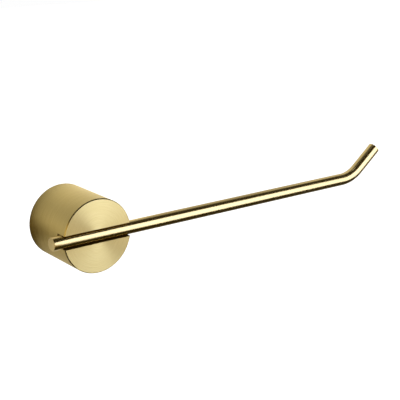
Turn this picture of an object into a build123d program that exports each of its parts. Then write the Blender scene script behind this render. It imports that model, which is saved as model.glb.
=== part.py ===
from build123d import *
import os
from math import cos, radians, sin, tan

# Wall-mounted toilet paper holder: a short round post with one round arm let into its front face.
# Millimetres. Row frame: +Z up, +X along the arm, wall plane at y = 0, the holder stands out along -Y.
# The origin is the centre of the post's axis on the wall plane.

# Post
POST_DIA = 50.0
POST_LENGTH = 47.0          # wall plane to front face
POST_REAR_GAP = 0.2         # the rear rim stops just short of the wall
POST_BORE_DIA = 42.0
POST_FRONT_THICKNESS = 14.0
FRONT_RIM_CHAMFER = 0.6
REAR_RIM_RADIUS = 0.4
BORE_FLOOR_RADIUS = 1.0
BORE_MOUTH_CHAMFER = 0.4

# Arm: one solid round bar
ARM_DIA = 9.0
ARM_PROUD = 0.5             # how far the bar stands out of the front face
ARM_LEFT_REACH = 32.0       # post axis to the plain end
ARM_CORNER_REACH = 230.3    # post axis to the corner of the bend
ARM_TIP_LENGTH = 32.2       # corner of the bend to the upturned end
ARM_BEND_RADIUS = 3 * ARM_DIA
ARM_BEND_ANGLE = 38.5       # degrees up from horizontal
ARM_END_RADIUS = 0.3

# Slot across the front face that takes the arm
SLOT_WIDTH = ARM_DIA + 0.2
SLOT_LIP_CHAMFER = 0.15

# Arm screw: M5 x 12 socket cap screw from inside the post, with a plain and a split washer
ARM_SCREW_THREAD_DIA = 4.9
ARM_SCREW_LENGTH = 12.0
ARM_SCREW_HEAD_DIA = 8.5
ARM_SCREW_HEAD_HEIGHT = 5.0
ARM_SCREW_HEAD_EDGE_RADIUS = 0.4
ARM_SCREW_TIP_CHAMFER = 0.5
ARM_SCREW_KEY = 4.0         # across the flats of the hexagon socket
ARM_SCREW_KEY_DEPTH = 2.5
ARM_TAPPED_DIA = 5.0
ARM_TAPPED_DEPTH = 6.0
POST_CLEARANCE_DIA = 5.5
FLAT_WASHER_DIA = 10.0
FLAT_WASHER_BORE = 5.3
FLAT_WASHER_THICKNESS = 1.0
SPLIT_WASHER_DIA = 9.2
SPLIT_WASHER_BORE = 5.1
SPLIT_WASHER_THICKNESS = 1.2
SPLIT_WASHER_GAP = 0.8
SPLIT_WASHER_SLANT = 20.0   # degrees

# Wall plate: a shallow cup, open to the front, that the post slides over
PLATE_DIA = POST_BORE_DIA - 0.2
PLATE_HEIGHT = 12.0
PLATE_FLOOR = 3.0
PLATE_CUP_DIA = 34.0
PLATE_LEAD_CHAMFER = 0.6
PLATE_FLAT_DROP = 20.0      # post axis down to the flat that the set screw bears on
WALL_SLOT_SPACING = 20.0
WALL_SLOT_LENGTH = 8.0
WALL_SLOT_WIDTH = 5.0

# Set screw: M4 x 4 hexagon socket, cup point, up through the underside of the post
SET_SCREW_DIA = 4.0
SET_SCREW_LENGTH = 4.0
SET_SCREW_FROM_WALL = 7.0
SET_SCREW_TIP_GAP = 0.05
SET_SCREW_HOLE_DIA = 4.1
SET_SCREW_KEY = 2.0
SET_SCREW_KEY_DEPTH = 2.0
SET_SCREW_CHAMFER = 0.4
SET_SCREW_CUP_DIA = 2.0
SET_SCREW_CUP_DEPTH = 0.6

# Places along the post's axis, measured out from the wall
FRONT_FACE = POST_LENGTH
BORE_FLOOR = POST_LENGTH - POST_FRONT_THICKNESS
ARM_AXIS = POST_LENGTH + ARM_PROUD - ARM_DIA / 2
SLOT_FLOOR = ARM_AXIS - ARM_DIA / 2
ARM_SCREW_SEAT = BORE_FLOOR - FLAT_WASHER_THICKNESS - SPLIT_WASHER_THICKNESS

# A cutter starts or ends this far outside the solid that it cuts
OVERRUN = 5.0

BASE = (Align.CENTER, Align.CENTER, Align.MIN)


def stand_out(shape):
    """Turn a shape built with Z away from the wall and Y up into the row frame."""
    return Rot(X=90) * shape


def disc(diameter, start, end):
    """A cylinder on the post's axis, between two distances from the wall."""
    return Pos(Z=start) * Cylinder(diameter / 2, end - start, align=BASE)


def hexagon_socket(across_flats, start, depth):
    """A hexagonal key socket on the post's axis."""
    outline = RegularPolygon(across_flats / 2, 6, major_radius=False)
    return Pos(Z=start) * extrude(outline, depth)


def end_circles(shape, end):
    """The circular edges at the low (0) or high (-1) end of a shape along Z."""
    return shape.edges().group_by(Axis.Z)[end].filter_by(GeomType.CIRCLE)


def make_post_body():
    """Turned post: blind bore from the back, round-bottomed slot across the front."""
    post = disc(POST_DIA, POST_REAR_GAP, FRONT_FACE)
    post = chamfer(end_circles(post, -1), FRONT_RIM_CHAMFER)
    post = fillet(end_circles(post, 0), REAR_RIM_RADIUS)

    bore = fillet(end_circles(disc(POST_BORE_DIA, -OVERRUN, BORE_FLOOR), -1), BORE_FLOOR_RADIUS)
    post -= bore
    mouth = end_circles(post, 0).sort_by(SortBy.RADIUS)[0]
    post = chamfer(mouth, BORE_MOUTH_CHAMFER)

    slot_centre = SLOT_FLOOR + SLOT_WIDTH / 2
    slot_length = POST_DIA + 2 * OVERRUN
    slot_walls = Box(slot_length, SLOT_WIDTH, FRONT_FACE - slot_centre + OVERRUN, align=BASE)
    slot_floor = Rot(Y=90) * Cylinder(SLOT_WIDTH / 2, slot_length)
    post -= Pos(Z=slot_centre) * (slot_walls + slot_floor)
    lips = post.edges().filter_by(Axis.X).group_by(Axis.Z)[-1]
    post = chamfer(lips, SLOT_LIP_CHAMFER)

    post -= disc(POST_CLEARANCE_DIA, BORE_FLOOR - OVERRUN, ARM_AXIS)
    set_screw_hole = Rot(X=90) * Cylinder(SET_SCREW_HOLE_DIA / 2, POST_DIA, align=BASE)
    post -= Pos(Z=SET_SCREW_FROM_WALL) * set_screw_hole
    return stand_out(post)


def make_arm():
    """Solid bar, bent up near its free end, with a tapped hole behind for the arm screw."""
    rise = radians(ARM_BEND_ANGLE)
    corner = Vector(ARM_CORNER_REACH, -ARM_AXIS, 0)
    tip = corner + Vector(cos(rise), 0, sin(rise)) * ARM_TIP_LENGTH
    path = FilletPolyline((-ARM_LEFT_REACH, -ARM_AXIS, 0), corner, tip, radius=ARM_BEND_RADIUS)
    section = Plane(origin=path @ 0, z_dir=path % 0) * Circle(ARM_DIA / 2)
    bar = sweep(section, path=path)
    bar = fillet(bar.faces().filter_by(GeomType.PLANE).edges(), ARM_END_RADIUS)
    return bar - stand_out(disc(ARM_TAPPED_DIA, SLOT_FLOOR - OVERRUN, SLOT_FLOOR + ARM_TAPPED_DEPTH))


def make_arm_screw():
    """M5 socket cap screw; the plain shank stands for the thread's outside."""
    head_end = ARM_SCREW_SEAT - ARM_SCREW_HEAD_HEIGHT
    head = disc(ARM_SCREW_HEAD_DIA, head_end, ARM_SCREW_SEAT)
    head = fillet(end_circles(head, 0), ARM_SCREW_HEAD_EDGE_RADIUS)
    shank = disc(ARM_SCREW_THREAD_DIA, ARM_SCREW_SEAT, ARM_SCREW_SEAT + ARM_SCREW_LENGTH)
    shank = chamfer(end_circles(shank, -1), ARM_SCREW_TIP_CHAMFER)
    screw = head + shank - hexagon_socket(ARM_SCREW_KEY, head_end, ARM_SCREW_KEY_DEPTH)
    return stand_out(screw)


def make_flat_washer():
    washer = disc(FLAT_WASHER_DIA, BORE_FLOOR - FLAT_WASHER_THICKNESS, BORE_FLOOR)
    washer -= disc(FLAT_WASHER_BORE, BORE_FLOOR - OVERRUN, BORE_FLOOR + OVERRUN)
    return stand_out(washer)


def make_split_washer():
    """Helical spring washer pressed flat, with its slanting split."""
    washer = disc(SPLIT_WASHER_DIA, ARM_SCREW_SEAT, ARM_SCREW_SEAT + SPLIT_WASHER_THICKNESS)
    washer -= disc(SPLIT_WASHER_BORE, ARM_SCREW_SEAT - OVERRUN, ARM_SCREW_SEAT + OVERRUN)
    split = Box(SPLIT_WASHER_GAP, SPLIT_WASHER_DIA, SPLIT_WASHER_THICKNESS + OVERRUN)
    split = Rot(Y=SPLIT_WASHER_SLANT) * split
    split_centre = Pos(Y=SPLIT_WASHER_DIA / 2, Z=ARM_SCREW_SEAT + SPLIT_WASHER_THICKNESS / 2)
    return stand_out(washer - split_centre * split)


def make_wall_plate():
    """Shallow cup with two level slots in its floor and a flat under its ring."""
    plate = disc(PLATE_DIA, 0, PLATE_HEIGHT)
    plate = chamfer(end_circles(plate, -1), PLATE_LEAD_CHAMFER)
    plate -= disc(PLATE_CUP_DIA, PLATE_FLOOR, PLATE_HEIGHT + OVERRUN)
    for side in (-1, 1):
        slot = extrude(SlotOverall(WALL_SLOT_LENGTH, WALL_SLOT_WIDTH), PLATE_FLOOR + 2 * OVERRUN)
        plate -= Pos(X=side * WALL_SLOT_SPACING / 2, Z=-OVERRUN) * slot
    top_edge = (Align.CENTER, Align.MAX, Align.CENTER)
    below_flat = Box(PLATE_DIA, PLATE_DIA, PLATE_HEIGHT + OVERRUN, align=top_edge)
    plate -= Pos(Y=-PLATE_FLAT_DROP, Z=PLATE_HEIGHT / 2) * below_flat
    return stand_out(plate)


def make_set_screw():
    """Grub screw standing up through the underside; its cup point is at the top."""
    screw = Cylinder(SET_SCREW_DIA / 2, SET_SCREW_LENGTH, align=BASE)
    screw = chamfer(screw.edges().filter_by(GeomType.CIRCLE), SET_SCREW_CHAMFER)
    screw -= hexagon_socket(SET_SCREW_KEY, 0, SET_SCREW_KEY_DEPTH)
    cup = Cone(0, SET_SCREW_CUP_DIA / 2, SET_SCREW_CUP_DEPTH, align=(Align.CENTER, Align.CENTER, Align.MAX))
    screw -= Pos(Z=SET_SCREW_LENGTH) * cup
    tip = -PLATE_FLAT_DROP - SET_SCREW_TIP_GAP
    return Pos(Y=-SET_SCREW_FROM_WALL, Z=tip - SET_SCREW_LENGTH) * screw


PIECES = {
    "post_body": make_post_body,
    "arm": make_arm,
    "arm_screw": make_arm_screw,
    "arm_screw_flat_washer": make_flat_washer,
    "arm_screw_split_washer": make_split_washer,
    "wall_plate": make_wall_plate,
    "set_screw": make_set_screw,
}

os.makedirs("parts", exist_ok=True)
for name, make in PIECES.items():
    export_step(make(), f"parts/{name}.step")

bend_setback = ARM_BEND_RADIUS * tan(radians(ARM_BEND_ANGLE) / 2)
print("straight past the bend:", round(ARM_TIP_LENGTH - bend_setback, 2), "mm")
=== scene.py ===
from math import cos, pi, radians, sin, tan

import bmesh
import bpy
from mathutils import Matrix, Vector


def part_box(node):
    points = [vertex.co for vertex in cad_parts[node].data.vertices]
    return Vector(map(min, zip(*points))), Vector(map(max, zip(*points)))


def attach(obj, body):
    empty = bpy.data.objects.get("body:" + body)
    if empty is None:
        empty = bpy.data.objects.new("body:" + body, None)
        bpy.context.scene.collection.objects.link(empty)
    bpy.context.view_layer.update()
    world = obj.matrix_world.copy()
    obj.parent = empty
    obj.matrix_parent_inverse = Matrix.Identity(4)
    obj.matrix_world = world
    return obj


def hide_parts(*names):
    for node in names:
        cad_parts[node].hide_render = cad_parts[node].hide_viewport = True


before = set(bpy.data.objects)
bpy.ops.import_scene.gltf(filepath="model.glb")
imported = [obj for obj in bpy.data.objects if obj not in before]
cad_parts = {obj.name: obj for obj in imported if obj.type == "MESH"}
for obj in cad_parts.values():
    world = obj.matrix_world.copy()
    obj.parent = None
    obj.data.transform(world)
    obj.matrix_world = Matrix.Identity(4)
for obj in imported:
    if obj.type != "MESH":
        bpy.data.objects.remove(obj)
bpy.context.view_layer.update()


# Camera: to the left of the holder and above it, looking down and along the arm with a long lens. It
# leans to one side by a fraction of a degree.
FRONT_FACE_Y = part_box("post_body")[0].y
CAMERA_AZIMUTH = radians(-36.7)      # 0 is straight out of the wall, positive towards the arm
CAMERA_ELEVATION = radians(16.3)
CAMERA_ROLL = radians(-0.43)
CAMERA_DISTANCE = 0.700
CAMERA_LENS_MM = 91.7
CAMERA_NEAREST = 0.01
AIM = Vector((0.0819, FRONT_FACE_Y, 0.0095))

camera_data = bpy.data.cameras.new("camera")
camera_data.lens = CAMERA_LENS_MM
camera_data.clip_start = CAMERA_NEAREST
camera = bpy.data.objects.new("camera", camera_data)
aside = sin(CAMERA_AZIMUTH) * cos(CAMERA_ELEVATION)
outwards = cos(CAMERA_AZIMUTH) * cos(CAMERA_ELEVATION)
camera.location = AIM + Vector((aside, -outwards, sin(CAMERA_ELEVATION))) * CAMERA_DISTANCE
camera.rotation_euler = (AIM - camera.location).to_track_quat("-Z", "Y").to_euler()
camera.rotation_euler.rotate_axis("Z", CAMERA_ROLL)
bpy.context.scene.collection.objects.link(camera)
bpy.context.scene.camera = camera
bpy.context.scene.view_settings.view_transform = "Standard"


# Studio floor and light card: a plain pale floor far below, and one large glowing card that stands in
# front of the wall on the right. The card is seen only in the metal: it makes the bright line along the
# arm and the bright sectors of the post's face.
def linear(hex_colour):
    """An sRGB hex colour as linear RGBA."""
    parts = [int(hex_colour[i:i + 2], 16) / 255 for i in (1, 3, 5)]
    return tuple(p / 12.92 if p <= 0.04045 else ((p + 0.055) / 1.055) ** 2.4 for p in parts) + (1.0,)


def material(name):
    """A new material, with its node tree and its shader."""
    finish = bpy.data.materials.new(name)
    finish.use_nodes = True
    return finish, finish.node_tree, finish.node_tree.nodes["Principled BSDF"]


def stage_panel(name, corners, colour, light):
    """A flat matt panel of the studio that gives off light of its own colour."""
    finish, _, shader = material(name)
    shader.inputs["Base Color"].default_value = linear(colour)
    shader.inputs["Roughness"].default_value = 1.0
    shader.inputs["Specular IOR Level"].default_value = 0.0
    shader.inputs["Emission Color"].default_value = linear(colour)
    shader.inputs["Emission Strength"].default_value = light
    mesh = bpy.data.meshes.new(name)
    mesh.from_pydata(corners, [], [tuple(range(len(corners)))])
    mesh.materials.append(finish)
    panel = bpy.data.objects.new(name, mesh)
    bpy.context.scene.collection.objects.link(panel)
    return panel


SQUARE = ((-1, -1), (1, -1), (1, 1), (-1, 1))
FLOOR_Z = -2.0
FLOOR_REACH = 20.0
FLOOR_LIGHT = 1.0
floor_corners = [(x * FLOOR_REACH, y * FLOOR_REACH, FLOOR_Z) for x, y in SQUARE]
floor = stage_panel("floor", floor_corners, "#FEFEFE", FLOOR_LIGHT)
floor.visible_glossy = False
floor.visible_diffuse = False

CARD_Y = -0.6
CARD_LIGHT = 2.85
CARD_OUTLINE = [(0.38, -0.34), (0.04, 0.16), (0.27, 0.40), (0.50, 0.53), (0.93, 0.45), (0.93, -0.26)]
card_corners = [(x, CARD_Y, z) for x, z in CARD_OUTLINE]
light_card = stage_panel("light_card", card_corners, "#D8E0FF", CARD_LIGHT)
light_card.visible_camera = False


# Studio wall: the matt wall that the post stands out of, with a soft light of its own. It is brightest
# behind the start of the arm, fades upwards, downwards and along the arm, and has painted soft shadows of
# the post and the arm in its light. It is seen only in the metal, and only from the front.
MM = 0.001
WALL_OVERLAP = 0.1 * MM       # the wall covers the post's rear rim by this, so that no gap is mirrored
WALL_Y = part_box("post_body")[1].y - WALL_OVERLAP
WALL_REACH = 3.0

# How the light changes along x: it grows from the left up to the arm's start, then fades along the arm.
GROWING = {"From Min": -0.065, "From Max": 0.045, "To Min": 0.64, "To Max": 1.5}
FADING = {"From Min": 0.036, "From Max": 0.085, "To Min": 1.0, "To Max": 0.38}

# Painted patches of shadow and light that multiply it: centre in x and z, reach in x and z, value at the
# centre and at the edge. Where the centre is below 0, the middle of the patch is wholly dark.
PAINTED_WALL_PATCHES = [
    (-0.016, -0.002, 0.046, 0.046, -0.35, 1),     # painted shadow of the post
    (-0.038, -0.006, 0.021, 0.016, -0.4, 1),      # painted shadow of the arm's plain end
    (-0.040, 0.018, 0.024, 0.016, 1.4, 1),        # painted light, lighter over that shadow
    (0.185, -0.072, 0.165, 0.080, -2.5, 1),       # painted shadow of the arm
    (0.110, 0.105, 0.080, 0.080, 1.5, 1),         # painted light, lighter over the arm
    (0.262, 0.095, 0.060, 0.080, 2.7, 1),         # painted light, brighter beside the upturned end
]
ANY_X = 1000                  # a reach so wide that x makes no difference
BAND = (0, 0.004, ANY_X, 0.300, 1, 0)             # the light fades up and down the wall
BLACK_PAINT = (0.13, 0.34, 0.20, 0.22, 1, 0)      # the wall is painted black well above the bend


def add(tree, kind, inputs=None, **settings):
    """Add one shader node, set its properties, and set or link its inputs."""
    new = tree.nodes.new("ShaderNode" + kind)
    for name, value in settings.items():
        setattr(new, name, value)
    for socket, value in (inputs or {}).items():
        if isinstance(value, bpy.types.NodeSocket):
            tree.links.new(value, new.inputs[socket])
        else:
            new.inputs[socket].default_value = value
    return new


def soft_patch(tree, spot, patch, kind="SPHERICAL"):
    """A value on the wall that changes smoothly from the centre of an ellipse to its edge."""
    centre_x, centre_z, reach_x, reach_z, at_centre, at_edge = patch
    scale = (1 / reach_x, 0, 1 / reach_z)
    offset = (-centre_x / reach_x, 0, -centre_z / reach_z)
    inside = add(tree, "Mapping", {"Vector": spot, "Location": offset, "Scale": scale}).outputs[0]
    nearness = add(tree, "TexGradient", {"Vector": inside}, gradient_type=kind).outputs["Fac"]
    return add(tree, "MapRange", {"Value": nearness, "To Min": at_edge, "To Max": at_centre}).outputs[0]


wall_corners = [(x * WALL_REACH, WALL_Y, z * WALL_REACH) for x, z in SQUARE]
wall = stage_panel("wall", wall_corners, "#FFFBF0", 1.0)      # its light is set just below
wall.visible_camera = False
tree = wall.data.materials[0].node_tree
shader = tree.nodes["Principled BSDF"]
spot = add(tree, "TexCoord").outputs["Object"]
along_arm = add(tree, "SeparateXYZ", {0: spot}).outputs["X"]
light = add(tree, "MapRange", {"Value": along_arm, **GROWING}).outputs[0]
shares = [add(tree, "MapRange", {"Value": along_arm, **FADING}).outputs[0]]
shares.append(soft_patch(tree, spot, BAND, kind="QUADRATIC_SPHERE"))
shares += [soft_patch(tree, spot, patch) for patch in PAINTED_WALL_PATCHES]
for share in shares:
    light = add(tree, "Math", {0: light, 1: share}, operation="MULTIPLY").outputs[0]
light = add(tree, "Math", {0: light, 1: 0.0}, operation="MAXIMUM").outputs[0]
black = soft_patch(tree, spot, BLACK_PAINT)
paint = add(tree, "MixRGB", {"Fac": black, "Color1": linear("#6E6A60"), "Color2": linear("#000000")})
tree.links.new(light, shader.inputs["Emission Strength"])
tree.links.new(paint.outputs[0], shader.inputs["Base Color"])

back = add(tree, "NewGeometry").outputs["Backfacing"]
clear = add(tree, "BsdfTransparent").outputs[0]
sides = add(tree, "MixShader", {0: back, 1: shader.outputs[0], 2: clear})
tree.links.new(sides.outputs[0], tree.nodes["Material Output"].inputs["Surface"])


# Studio room: dark and warm, with round glows that the metal mirrors. The camera doesn't see the room: it
# sees plain pale light.

# Each glow is a direction, the cosines of the angles from it where the glow starts and where it is full,
# and its colour. A later glow lies over an earlier one.
ROOM_GLOWS = [
    ((-0.15, -0.98, -0.13), 0.70, 0.97, "#A88E48"),    # in front of the post, a little left and low
    ((-0.73, -0.68, -0.06), 0.84, 0.94, "#D2BC86"),    # in front and well to the left
    ((-1, 0, 0), 0.90, 0.985, "#D2BC86"),              # at the far left, past the post
    ((0, 0, 1), 0.98, 0.995, "#FFFFFF"),               # overhead
    ((0, 0, -1), 0.98, 0.995, "#FFFFFF"),              # underneath
    ((1, 0, 0), 0.84, 0.96, "#FFFFFF"),                # at the far right, past the arm
    ((0, 1, 0), 0.0, 0.3, "#D0D0CC"),                  # all that is behind the wall
]

room = bpy.data.worlds.new("room")
bpy.context.scene.world = room
room.use_nodes = True
tree = room.node_tree
tree.nodes.clear()
sight = add(tree, "TexCoord").outputs["Generated"]
tone = linear("#302808")
for direction, start, full, colour in ROOM_GLOWS:
    nearness = add(tree, "VectorMath", {0: sight, 1: direction}, operation="DOT_PRODUCT").outputs["Value"]
    glow = add(tree, "MapRange", {"Value": nearness, "From Min": start, "From Max": full}).outputs[0]
    tone = add(tree, "MixRGB", {"Fac": glow, "Color1": tone, "Color2": linear(colour)}).outputs[0]
mirrored = add(tree, "Background", {"Color": tone, "Strength": 1.0}).outputs[0]
seen = add(tree, "Background", {"Color": linear("#FEFEFE"), "Strength": 1.0}).outputs[0]
by_camera = add(tree, "LightPath").outputs["Is Camera Ray"]
both = add(tree, "MixShader", {0: by_camera, 1: mirrored, 2: seen})
add(tree, "OutputWorld", {"Surface": both.outputs[0]})


# Post: a short round post turned from stainless steel bar, with a blind bore behind and a slot across
# its face for the arm. It is brushed while it turns, so the grain runs in rings, then coated gold.
GRAIN_PITCH = 0.28 * MM       # real grit lines are about 0.05 mm apart; coarser, so that they show
GRAIN_TURNS = 1.6             # how quickly a line fades along its ring
GRAIN_DEPTH = 0.02 * MM
NOISE_SPAN = {"From Min": 0.3, "From Max": 0.7}            # most of a noise lies between these
SLOT_SIDE = 4.6 * MM          # half the slot's width
SLOT_BACK = -38.2 * MM        # just behind the slot's floor
BORE_OUTSIDE = 21.5 * MM      # just outside the bore's wall
BORE_FRONT = -33.3 * MM       # just ahead of the bore's floor
EDGE_INSIDE = 24.4 * MM       # the broken front edge starts here on the face
EDGE_BACK = -46.4 * MM        # and ends here on the side
SHARP = 0.04 * MM             # one finish turns into the next over this distance at an edge
SOFT = 0.1 * MM               # and over this one where it doesn't show


def dress(obj, finish):
    """Give an object one finish all over."""
    obj.data.materials.clear()
    obj.data.materials.append(finish)


def region(tree, *limits):
    """A value that is 1 where each measure is past its limit, from 0 at its start, and else 0."""
    inside = 1.0
    for measure, start, limit in limits:
        past = add(tree, "MapRange", {"Value": measure, "From Min": start, "From Max": limit}).outputs[0]
        inside = add(tree, "Math", {0: past, 1: inside}, operation="MULTIPLY").outputs[0]
    return inside


# Stainless steel, brushed in rings and coated by vapour deposition with a gold-coloured nitride film. The
# film is too thin to hide the brushing, so the eye gets a deep gold with a silky, streaked sheen that
# swings round the post. The slot is painted dark brown for the shade in the narrow gap round the arm. The
# bore is paler, because little of the coat lands there, and the broken front edge is the smoothest.
ring_brushed_gold, tree, shader = material("ring_brushed_gold_pvd_steel")
place = add(tree, "SeparateXYZ", {0: add(tree, "TexCoord").outputs["Object"]})
depth = place.outputs["Y"]
height = add(tree, "Math", {0: place.outputs["Z"]}, operation="ABSOLUTE").outputs[0]
flat_place = add(tree, "CombineXYZ", {"X": place.outputs["X"], "Y": place.outputs["Z"]}).outputs[0]
radius = add(tree, "VectorMath", {0: flat_place}, operation="LENGTH").outputs["Value"]
around = add(tree, "VectorMath", {0: flat_place}, operation="NORMALIZE")
around = add(tree, "VectorMath", {0: around.outputs[0], "Scale": GRAIN_TURNS}, operation="SCALE")
lines = add(tree, "Math", {0: radius, 1: depth}, operation="SUBTRACT")
lines = add(tree, "Math", {0: lines.outputs[0], 1: GRAIN_PITCH}, operation="DIVIDE")
lines = add(tree, "CombineXYZ", {"Z": lines.outputs[0]})
grain_place = add(tree, "VectorMath", {0: around.outputs[0], 1: lines.outputs[0]}, operation="ADD")
grain = {"Vector": grain_place.outputs[0], "Scale": 1.0, "Detail": 4.0, "Roughness": 0.6}
grain = add(tree, "TexNoise", grain).outputs["Fac"]
tint = add(tree, "MapRange", {"Value": grain, **NOISE_SPAN}).outputs[0]
tint = add(tree, "MixRGB", {"Fac": tint, "Color1": linear("#DAC279"), "Color2": linear("#ECD791")})
dull = add(tree, "MapRange", {"Value": grain, **NOISE_SPAN, "To Min": 0.33, "To Max": 0.44})
relief = add(tree, "Bump", {"Height": grain, "Strength": 0.16, "Distance": GRAIN_DEPTH})
# Painted shade: the slot's faces are tinted dark brown for the shade in the narrow gap round the arm.
slot_painted_shade = region(tree, (height, SLOT_SIDE + SHARP, SLOT_SIDE), (depth, SLOT_BACK + SOFT, SLOT_BACK))
tint = add(tree, "MixRGB", {"Fac": slot_painted_shade, "Color1": tint.outputs[0], "Color2": linear("#5A4412")})
across_bore = (radius, BORE_OUTSIDE + SOFT, BORE_OUTSIDE)
in_bore = region(tree, across_bore, (depth, BORE_FRONT - SOFT, BORE_FRONT))
tint = add(tree, "MixRGB", {"Fac": in_bore, "Color1": tint.outputs[0], "Color2": linear("#B9A778")})
across_edge = (radius, EDGE_INSIDE - SHARP, EDGE_INSIDE)
on_edge = region(tree, across_edge, (depth, EDGE_BACK + SHARP, EDGE_BACK))
edge_dull = (0.18, 0.18, 0.18, 1)
dull = add(tree, "MixRGB", {"Fac": on_edge, "Color1": dull.outputs[0], "Color2": edge_dull})
rings = add(tree, "Tangent", direction_type="RADIAL", axis="Y")
tree.links.new(tint.outputs[0], shader.inputs["Base Color"])
tree.links.new(dull.outputs[0], shader.inputs["Roughness"])
tree.links.new(relief.outputs[0], shader.inputs["Normal"])
tree.links.new(rings.outputs[0], shader.inputs["Tangent"])
shader.inputs["Metallic"].default_value = 1.0
shader.inputs["Anisotropic"].default_value = 0.85
shader.inputs["Anisotropic Rotation"].default_value = 0.25
dress(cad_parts["post_body"], ring_brushed_gold)


# Arm: one solid 9 mm stainless steel bar, cold bent near its free end, ground and brushed round and
# coated gold with the post. Its plain end and its tip are cut square with broken edges.
arm_low, arm_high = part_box("arm")
ARM_RADIUS = (arm_high.y - arm_low.y) / 2
ARM_RISE = radians(38.5)
ARM_BEND_RADIUS = 6 * ARM_RADIUS
ARM_EDGE_RADIUS = 0.3 * MM
BAR_STEPS = 96                # round the bar
STRAIGHT_STEPS = 40           # along it, up to the bend
BEND_STEPS = 32
TIP_STEPS = 8
EDGE_STEPS = 5
END_FINISH = 1                # the bar's second finish, on its two flat ends

# The tip's rounded edge touches the arm's box on the right and at the top, which gives the tip's centre.
# The corner is where the centre lines of the two straight stretches would meet.
tip_inset = (ARM_RADIUS - ARM_EDGE_RADIUS) * sin(ARM_RISE) + ARM_EDGE_RADIUS * (1 - cos(ARM_RISE))
tip_drop = (ARM_RADIUS - ARM_EDGE_RADIUS) * cos(ARM_RISE) + ARM_EDGE_RADIUS * (1 - sin(ARM_RISE))
tip = Vector((arm_high.x - tip_inset, (arm_low.y + arm_high.y) / 2, arm_high.z - tip_drop))
plain_end = Vector((arm_low.x, tip.y, arm_low.z + ARM_RADIUS))
corner = Vector((tip.x - (tip.z - plain_end.z) / tan(ARM_RISE), tip.y, plain_end.z))
setback = ARM_BEND_RADIUS * tan(ARM_RISE / 2)


def bar_line():
    """Centre line as (point, direction, length so far), ends included."""
    straight = corner.x - setback - plain_end.x
    for i in range(STRAIGHT_STEPS + 1):
        run = straight * i / STRAIGHT_STEPS
        yield plain_end + Vector((run, 0, 0)), Vector((1, 0, 0)), run
    centre = corner + Vector((-setback, 0, ARM_BEND_RADIUS))
    for i in range(1, BEND_STEPS + 1):
        turn = ARM_RISE * i / BEND_STEPS
        point = centre + Vector((sin(turn), 0, -cos(turn))) * ARM_BEND_RADIUS
        yield point, Vector((cos(turn), 0, sin(turn))), straight + ARM_BEND_RADIUS * turn
    forward = Vector((cos(ARM_RISE), 0, sin(ARM_RISE)))
    past_bend = (tip - corner).length - setback
    for i in range(1, TIP_STEPS + 1):
        run = past_bend * i / TIP_STEPS
        yield corner + forward * (setback + run), forward, straight + ARM_BEND_RADIUS * ARM_RISE + run


def bar_rings():
    """Rings as (centre, direction, radius, length so far), with rounded edges at both ends."""
    line = list(bar_line())
    quarter = [pi / 2 * i / EDGE_STEPS for i in range(EDGE_STEPS + 1)]
    rounding = [(ARM_EDGE_RADIUS * (1 - cos(turn)), ARM_EDGE_RADIUS * (1 - sin(turn))) for turn in quarter]
    point, forward, run = line[0]
    for inwards, inset in rounding:
        yield point + forward * inwards, forward, ARM_RADIUS - inset, run
    for point, forward, run in line[1:-1]:
        yield point, forward, ARM_RADIUS, run
    point, forward, run = line[-1]
    for inwards, inset in reversed(rounding):
        yield point - forward * inwards, forward, ARM_RADIUS - inset, run


work = bmesh.new()
grain_map = work.loops.layers.uv.new("grain")
rows = []
for point, forward, ring_radius, run in bar_rings():
    up = Vector((-forward.z, 0, forward.x))
    ring = []
    for k in range(BAR_STEPS):
        turn = 2 * pi * k / BAR_STEPS
        ring.append(work.verts.new(point + (Vector((0, -cos(turn), 0)) + up * sin(turn)) * ring_radius))
    rows.append((ring, run))
for (ring_a, run_a), (ring_b, run_b) in zip(rows, rows[1:]):
    for k in range(BAR_STEPS):
        after = (k + 1) % BAR_STEPS
        face = work.faces.new((ring_a[k], ring_b[k], ring_b[after], ring_a[after]))
        face.smooth = True
        places = ((k, run_a), (k, run_b), (k + 1, run_b), (k + 1, run_a))
        for loop, (step, run) in zip(face.loops, places):
            loop[grain_map].uv = (step / BAR_STEPS, run)
for ring, order in ((rows[0][0], 1), (rows[-1][0], -1)):
    middle = work.verts.new(sum((vertex.co for vertex in ring), Vector()) / BAR_STEPS)
    for k in range(BAR_STEPS):
        pair = (ring[k], ring[(k + 1) % BAR_STEPS])
        end_face = work.faces.new((middle, *pair[::order]))
        end_face.material_index = END_FINISH
        end_face.smooth = False
bmesh.ops.recalc_face_normals(work, faces=work.faces)
arm_mesh = bpy.data.meshes.new("bent_bar")
work.to_mesh(arm_mesh)
work.free()
arm = bpy.data.objects.new("bent_bar", arm_mesh)
bpy.context.scene.collection.objects.link(arm)

# The same coated steel as the post, but ground to size before a finer brushing. The eye gets a bright,
# narrow mirror line and dark bands along the bar, with only a little softness across them.
bar_gold, tree, shader = material("fine_brushed_gold_pvd_bar")
wrap = add(tree, "SeparateXYZ", {0: add(tree, "UVMap", uv_map="grain").outputs["UV"]})
lines = add(tree, "Math", {0: wrap.outputs["Y"], 1: GRAIN_PITCH}, operation="DIVIDE").outputs[0]
turn = add(tree, "Math", {0: wrap.outputs["X"], 1: 2 * pi}, operation="MULTIPLY").outputs[0]
across = add(tree, "Math", {0: turn}, operation="COSINE").outputs[0]
upright = add(tree, "Math", {0: turn}, operation="SINE").outputs[0]
grain_place = add(tree, "CombineXYZ", {"X": across, "Y": upright, "Z": lines}).outputs[0]
grain = add(tree, "TexNoise", {"Vector": grain_place, "Scale": 1.0, "Detail": 3.0}).outputs["Fac"]
tint = add(tree, "MixRGB", {"Fac": grain, "Color1": linear("#D9C083"), "Color2": linear("#E2CB8C")})
dull = add(tree, "MapRange", {"Value": grain, **NOISE_SPAN, "To Min": 0.23, "To Max": 0.26})
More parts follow.
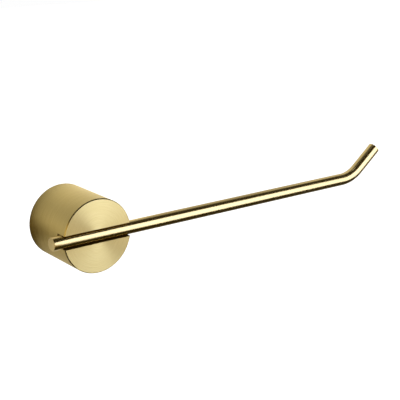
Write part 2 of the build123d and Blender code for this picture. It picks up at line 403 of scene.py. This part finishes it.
rings = add(tree, "Tangent", direction_type="UV_MAP", uv_map="grain")
tree.links.new(tint.outputs[0], shader.inputs["Base Color"])
tree.links.new(dull.outputs[0], shader.inputs["Roughness"])
tree.links.new(rings.outputs[0], shader.inputs["Tangent"])
shader.inputs["Metallic"].default_value = 1.0
shader.inputs["Anisotropic"].default_value = 0.5
shader.inputs["Anisotropic Rotation"].default_value = 0.25
dress(arm, bar_gold)

# The same coated steel where the bar is cut and faced off. The eye gets an even, slightly mottled gold
# with no streak in it.
GRIT_SPOT = 0.4 * MM          # real grit marks are under 0.1 mm; coarser, so that they show

end_gold, tree, shader = material("ground_gold_pvd_end")
spot = add(tree, "TexCoord").outputs["Object"]
grit = add(tree, "TexNoise", {"Vector": spot, "Scale": 1 / GRIT_SPOT, "Detail": 3.0}).outputs["Fac"]
tint = add(tree, "MixRGB", {"Fac": grit, "Color1": linear("#D5BC80"), "Color2": linear("#E2CB8C")})
dull = add(tree, "MapRange", {"Value": grit, "To Min": 0.30, "To Max": 0.40})
tree.links.new(tint.outputs[0], shader.inputs["Base Color"])
tree.links.new(dull.outputs[0], shader.inputs["Roughness"])
shader.inputs["Metallic"].default_value = 1.0
arm.data.materials.append(end_gold)
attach(arm, "post")
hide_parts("arm")


# Arm screw: an M5 x 12 socket cap screw of plain stainless steel, cold headed with a knurled rim and
# rolled with a thread. It comes from inside the post and pulls the arm down into its slot.
screw_low, screw_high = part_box("arm_screw")
HEAD_END = -screw_high.y
SEAT = -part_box("arm_screw_split_washer")[1].y
SCREW_END = -screw_low.y
HEAD_RADIUS = screw_high.x
SCREW_STEPS = 144             # round the screw: four to each ridge of the knurl
HEAD_RIDGES = 36
RIDGE_DEPTH = 0.14 * MM
M5_KEY = 4.0 * MM
M5_RADIUS = 2.45 * MM
M5_PITCH = 0.8 * MM
M5_END_RADIUS = 1.9 * MM
THREAD_DEPTH = 0.54           # of the pitch, for a 60 degree thread
THREAD_FLAT = 0.1             # of the pitch, at the crest and at the root
THREAD_RINGS = 8              # to each turn of the thread
SHARPEST_SMOOTH = radians(30)


def hexagon(across_flats):
    """Radius of a hexagon at an angle."""
    return lambda angle: across_flats / 2 / cos((angle + pi / 6) % (pi / 3) - pi / 6)


def knurl(radius, depth):
    """Radius of a knurled rim at an angle."""
    return lambda angle: radius - depth / 2 * (1 + cos(HEAD_RIDGES * angle))


def thread(start, end, radius, pitch, end_radius):
    """Rings of a right-hand 60 degree thread, turned down to a smaller radius at both ends."""
    depth = THREAD_DEPTH * pitch
    count = round(THREAD_RINGS * (end - start) / pitch)
    for i in range(count + 1):
        height = start + (end - start) * i / count
        limit = end_radius + min(height - start, end - height)

        def outline(angle, height=height, limit=limit):
            flank = abs(2 * ((height / pitch - angle / (2 * pi)) % 1) - 1)
            rise = (flank - THREAD_FLAT) / (1 - 2 * THREAD_FLAT)
            return min(limit, radius - depth + depth * min(1, max(0, rise)))
        yield height, outline


def turned(name, rings, place):
    """A closed piece of revolution through rings of (height, radius or radius at an angle)."""
    work = bmesh.new()
    rows = []
    for height, size in rings:
        if size == 0:
            rows.append([work.verts.new(place @ Vector((0, 0, height)))] * SCREW_STEPS)
            continue
        row = []
        for k in range(SCREW_STEPS):
            angle = 2 * pi * k / SCREW_STEPS
            reach = size(angle) if callable(size) else size
            row.append(work.verts.new(place @ Vector((reach * cos(angle), reach * sin(angle), height))))
        rows.append(row)
    for low, high in zip(rows, rows[1:]):
        for k in range(SCREW_STEPS):
            after = (k + 1) % SCREW_STEPS
            work.faces.new(tuple(dict.fromkeys((low[k], low[after], high[after], high[k]))))
    bmesh.ops.recalc_face_normals(work, faces=work.faces)
    mesh = bpy.data.meshes.new(name)
    work.to_mesh(mesh)
    work.free()
    mesh.shade_smooth()
    mesh.set_sharp_from_angle(angle=SHARPEST_SMOOTH)
    piece = bpy.data.objects.new(name, mesh)
    bpy.context.scene.collection.objects.link(piece)
    return piece


head_socket = [
    (HEAD_END + 2.9 * MM, 0),                           # the drill's point
    (HEAD_END + 2.5 * MM, hexagon(M5_KEY)),
    (HEAD_END + 0.25 * MM, hexagon(M5_KEY)),
    (HEAD_END, 2.45 * MM),                              # a countersunk mouth
]
head = [
    (HEAD_END, HEAD_RADIUS - 0.5 * MM),
    (HEAD_END + 0.15 * MM, HEAD_RADIUS - 0.2 * MM),     # a rounded edge
    (HEAD_END + 0.5 * MM, knurl(HEAD_RADIUS, RIDGE_DEPTH)),
    (SEAT - 0.5 * MM, knurl(HEAD_RADIUS, RIDGE_DEPTH)),
    (SEAT - 0.2 * MM, HEAD_RADIUS - 0.15 * MM),
    (SEAT, HEAD_RADIUS - 0.3 * MM),                     # and the seat on the washers
]
shank = [*thread(SEAT, SCREW_END, M5_RADIUS, M5_PITCH, M5_END_RADIUS), (SCREW_END, 0)]
out_of_wall = Matrix.Rotation(radians(90), 4, "X")
cap_screw = turned("socket_cap_screw", head_socket + head + shank, out_of_wall)

# Stainless steel as it comes from heading and rolling, tumbled clean. The eye gets a plain grey metal,
# neither polished nor matt, with faint uneven patches.
TUMBLE_SPOT = 1.2 * MM        # patches left by tumbling are about a millimetre across
TUMBLE_DEPTH = 0.02 * MM

plain_steel, tree, shader = material("plain_stainless_screw_steel")
spot = add(tree, "TexCoord").outputs["Object"]
mottle = {"Vector": spot, "Scale": 1 / TUMBLE_SPOT, "Detail": 5.0, "Roughness": 0.65}
mottle = add(tree, "TexNoise", mottle).outputs["Fac"]
tint = add(tree, "MixRGB", {"Fac": mottle, "Color1": linear("#AEABA5"), "Color2": linear("#CFCDC8")})
dull = add(tree, "MapRange", {"Value": mottle, "To Min": 0.22, "To Max": 0.42})
relief = add(tree, "Bump", {"Height": mottle, "Strength": 0.1, "Distance": TUMBLE_DEPTH})
tree.links.new(tint.outputs[0], shader.inputs["Base Color"])
tree.links.new(dull.outputs[0], shader.inputs["Roughness"])
tree.links.new(relief.outputs[0], shader.inputs["Normal"])
shader.inputs["Metallic"].default_value = 1.0
dress(cap_screw, plain_steel)
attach(cap_screw, "post")
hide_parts("arm_screw")


# Arm screw washers: a plain punched washer of the same steel, and over it a split spring washer of
# hardened steel, darkened by its heat treatment.
dress(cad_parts["arm_screw_flat_washer"], plain_steel)

# Spring steel, hardened and tempered in oil. The eye gets a dark, brownish grey metal with a dull sheen
# and the cloudy patches of its oxide.
OXIDE_SPOT = 0.8 * MM         # oxide patches are a little under a millimetre across

spring_steel, tree, shader = material("dark_tempered_spring_steel")
spot = add(tree, "TexCoord").outputs["Object"]
mottle = add(tree, "TexNoise", {"Vector": spot, "Scale": 1 / OXIDE_SPOT, "Detail": 4.0}).outputs["Fac"]
tint = add(tree, "MixRGB", {"Fac": mottle, "Color1": linear("#4A4642"), "Color2": linear("#7A756D")})
dull = add(tree, "MapRange", {"Value": mottle, "To Min": 0.35, "To Max": 0.55})
tree.links.new(tint.outputs[0], shader.inputs["Base Color"])
tree.links.new(dull.outputs[0], shader.inputs["Roughness"])
shader.inputs["Metallic"].default_value = 1.0
dress(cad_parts["arm_screw_split_washer"], spring_steel)


# Wall plate: a shallow cup turned from stainless steel and left uncoated, with two milled slots for the
# wall screws and a flat under its ring. It is screwed to the wall, and the post slides over it.
TURNING_PITCH = 0.3 * MM      # real feed lines are about 0.1 mm apart; coarser, so that they show
TURNING_DEPTH = 0.02 * MM

# Bare turned stainless steel. The eye gets a light grey metal with fine concentric feed lines, and a
# highlight drawn out across them.
turned_steel, tree, shader = material("turned_stainless_steel")
place = add(tree, "SeparateXYZ", {0: add(tree, "TexCoord").outputs["Object"]})
flat_place = add(tree, "CombineXYZ", {"X": place.outputs["X"], "Y": place.outputs["Z"]})
radius = add(tree, "VectorMath", {0: flat_place.outputs[0]}, operation="LENGTH")
feed = add(tree, "Math", {0: radius.outputs["Value"], 1: place.outputs["Y"]}, operation="SUBTRACT")
feed = add(tree, "Math", {0: feed.outputs[0], 1: TURNING_PITCH}, operation="DIVIDE")
feed = add(tree, "CombineXYZ", {"Z": feed.outputs[0]}).outputs[0]
lines = add(tree, "TexNoise", {"Vector": feed, "Scale": 1.0, "Detail": 3.0}).outputs["Fac"]
tint = add(tree, "MixRGB", {"Fac": lines, "Color1": linear("#B7B4AE"), "Color2": linear("#D6D4CF")})
dull = add(tree, "MapRange", {"Value": lines, "To Min": 0.24, "To Max": 0.40})
relief = add(tree, "Bump", {"Height": lines, "Strength": 0.25, "Distance": TURNING_DEPTH})
rings = add(tree, "Tangent", direction_type="RADIAL", axis="Y")
tree.links.new(tint.outputs[0], shader.inputs["Base Color"])
tree.links.new(dull.outputs[0], shader.inputs["Roughness"])
tree.links.new(relief.outputs[0], shader.inputs["Normal"])
tree.links.new(rings.outputs[0], shader.inputs["Tangent"])
shader.inputs["Metallic"].default_value = 1.0
shader.inputs["Anisotropic"].default_value = 0.6
shader.inputs["Anisotropic Rotation"].default_value = 0.25
dress(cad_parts["wall_plate"], turned_steel)


# Set screw: an M4 x 4 grub screw with a hexagon socket and a cup point, of plain stainless steel. It
# goes up through the underside of the post, near the wall, and grips the flat of the wall plate.
grub_low, grub_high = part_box("set_screw")
GRUB_LENGTH = grub_high.z - grub_low.z
GRUB_RADIUS = (grub_high.x - grub_low.x) / 2
M4_KEY = 2.0 * MM
M4_PITCH = 0.7 * MM
M4_END_RADIUS = GRUB_RADIUS - 0.4 * MM

grub_socket = [
    (2.3 * MM, 0),                                      # the drill's point
    (2.0 * MM, hexagon(M4_KEY)),
    (0.15 * MM, hexagon(M4_KEY)),
    (0, 1.22 * MM),                                     # a countersunk mouth
]
grub_body = list(thread(0, GRUB_LENGTH, GRUB_RADIUS, M4_PITCH, M4_END_RADIUS))
cup_point = [(GRUB_LENGTH, 1.0 * MM), (GRUB_LENGTH - 0.6 * MM, 0)]
grub_base = Vector(((grub_low.x + grub_high.x) / 2, (grub_low.y + grub_high.y) / 2, grub_low.z))
grub_screw = turned("grub_screw", grub_socket + grub_body + cup_point, Matrix.Translation(grub_base))
dress(grub_screw, plain_steel)
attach(grub_screw, "set_screw")
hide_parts("set_screw")
